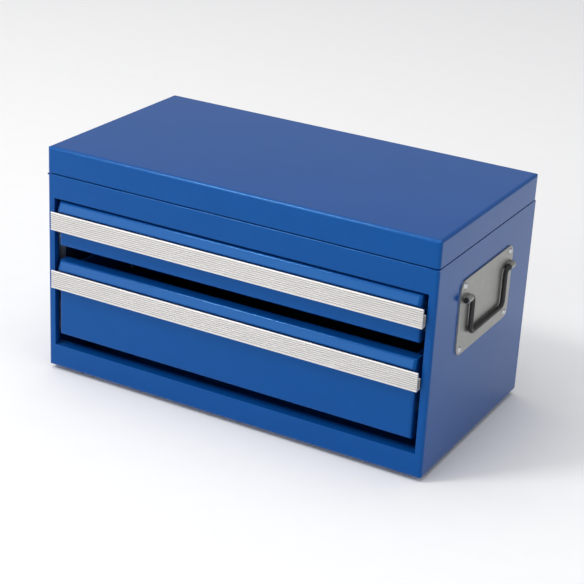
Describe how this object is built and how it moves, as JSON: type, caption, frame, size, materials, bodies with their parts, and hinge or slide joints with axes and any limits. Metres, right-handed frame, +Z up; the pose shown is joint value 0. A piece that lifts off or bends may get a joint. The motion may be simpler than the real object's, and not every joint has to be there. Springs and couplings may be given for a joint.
{
  "type": "portable tool box with drawers",
  "caption": "Small blue steel tool chest: a hinged box lid over an open compartment, drawers on ball slides, ribbed aluminium pulls, and a drop handle at each end.",
  "frame": {"origin": "middle of the bounding box's base, at the level of the underside of the rubber feet", "axes": "+X to the right along the front, +Y from the front to the back, +Z up"},
  "size_m": [0.275, 0.15, 0.15],
  "materials": {
    "blue_enamel": "glossy blue enamel on folded sheet steel",
    "aluminium": "satin anodised, extruded",
    "zinc_steel": "bright zinc plate",
    "hinge_steel": "plated steel strip",
    "rivet_steel": "plain steel",
    "cage_steel": "yellow-passivated strip",
    "ball_steel": "polished",
    "black_steel": "satin black paint on steel",
    "black_rubber": "matte moulded rubber",
    "mat_rubber": "matte ribbed mat"
  },
  "bodies": {
    "cabinet": {"cabinet_shell": "blue_enamel", "back_panel": "blue_enamel", "front_header": "blue_enamel", "compartment_floor": "blue_enamel", "left_slide_posts": "zinc_steel", "right_slide_posts": "zinc_steel", "upper_left_outer_slide": "zinc_steel", "upper_right_outer_slide": "zinc_steel", "lower_left_outer_slide": "zinc_steel", "lower_right_outer_slide": "zinc_steel", "lower_hinge_leaf": "hinge_steel", "hinge_pin": "hinge_steel", "lower_leaf_rivets": "rivet_steel", "left_handle_plate": "zinc_steel", "right_handle_plate": "zinc_steel", "left_handle_rivets": "rivet_steel", "right_handle_rivets": "rivet_steel", "rubber_feet": "black_rubber", "lid_bumpers": "black_rubber"},
    "lid": {"lid_shell": "blue_enamel", "upper_hinge_leaf": "hinge_steel", "upper_leaf_rivets": "rivet_steel"},
    "upper_drawer": {"upper_drawer_front": "blue_enamel", "upper_drawer_tray": "blue_enamel", "upper_drawer_pull": "aluminium", "upper_pull_rivets": "rivet_steel", "upper_drawer_mat": "mat_rubber", "upper_slide_rivets": "rivet_steel", "upper_left_inner_slide": "zinc_steel", "upper_right_inner_slide": "zinc_steel"},
    "lower_drawer": {"lower_drawer_front": "blue_enamel", "lower_drawer_tray": "blue_enamel", "lower_drawer_pull": "aluminium", "lower_pull_rivets": "rivet_steel", "lower_drawer_mat": "mat_rubber", "lower_slide_rivets": "rivet_steel", "lower_left_inner_slide": "zinc_steel", "lower_right_inner_slide": "zinc_steel"},
    "upper_left_cage": {"upper_left_ball_cage": "cage_steel", "upper_left_balls": "ball_steel"},
    "upper_right_cage": {"upper_right_ball_cage": "cage_steel", "upper_right_balls": "ball_steel"},
    "lower_left_cage": {"lower_left_ball_cage": "cage_steel", "lower_left_balls": "ball_steel"},
    "lower_right_cage": {"lower_right_ball_cage": "cage_steel", "lower_right_balls": "ball_steel"},
    "left_bail": {"left_handle_bail": "black_steel"},
    "right_bail": {"right_handle_bail": "black_steel"}
  },
  "joints": [
    {"name": "lid_hinge", "type": "hinge", "parent": "cabinet", "child": "lid", "pos_m": [0, 0.07262, 0.133], "axis": [-1, 0, 0], "range_deg": [0, 100]},
    {"name": "upper_drawer_slide", "type": "slide", "parent": "cabinet", "child": "upper_drawer", "axis": [0, -1, 0], "range_m": [0, 0.092]},
    {"name": "upper_left_cage_slide", "type": "slide", "parent": "cabinet", "child": "upper_left_cage", "axis": [0, -1, 0], "range_m": [0, 0.046]},
    {"name": "upper_right_cage_slide", "type": "slide", "parent": "cabinet", "child": "upper_right_cage", "axis": [0, -1, 0], "range_m": [0, 0.046]},
    {"name": "lower_drawer_slide", "type": "slide", "parent": "cabinet", "child": "lower_drawer", "axis": [0, -1, 0], "range_m": [0, 0.092]},
    {"name": "lower_left_cage_slide", "type": "slide", "parent": "cabinet", "child": "lower_left_cage", "axis": [0, -1, 0], "range_m": [0, 0.046]},
    {"name": "lower_right_cage_slide", "type": "slide", "parent": "cabinet", "child": "lower_right_cage", "axis": [0, -1, 0], "range_m": [0, 0.046]},
    {"name": "right_bail_pivot", "type": "hinge", "parent": "cabinet", "child": "right_bail", "pos_m": [0.13525, 0, 0.1031], "axis": [0, -1, 0], "range_deg": [0, 170]},
    {"name": "left_bail_pivot", "type": "hinge", "parent": "cabinet", "child": "left_bail", "pos_m": [-0.13525, 0, 0.1031], "axis": [0, 1, 0], "range_deg": [0, 170]}
  ],
  "couplings": [
    {"joint": "upper_left_cage_slide", "follows": "upper_drawer_slide", "ratio": 0.5},
    {"joint": "upper_right_cage_slide", "follows": "upper_drawer_slide", "ratio": 0.5},
    {"joint": "lower_left_cage_slide", "follows": "lower_drawer_slide", "ratio": 0.5},
    {"joint": "lower_right_cage_slide", "follows": "lower_drawer_slide", "ratio": 0.5}
  ]
}
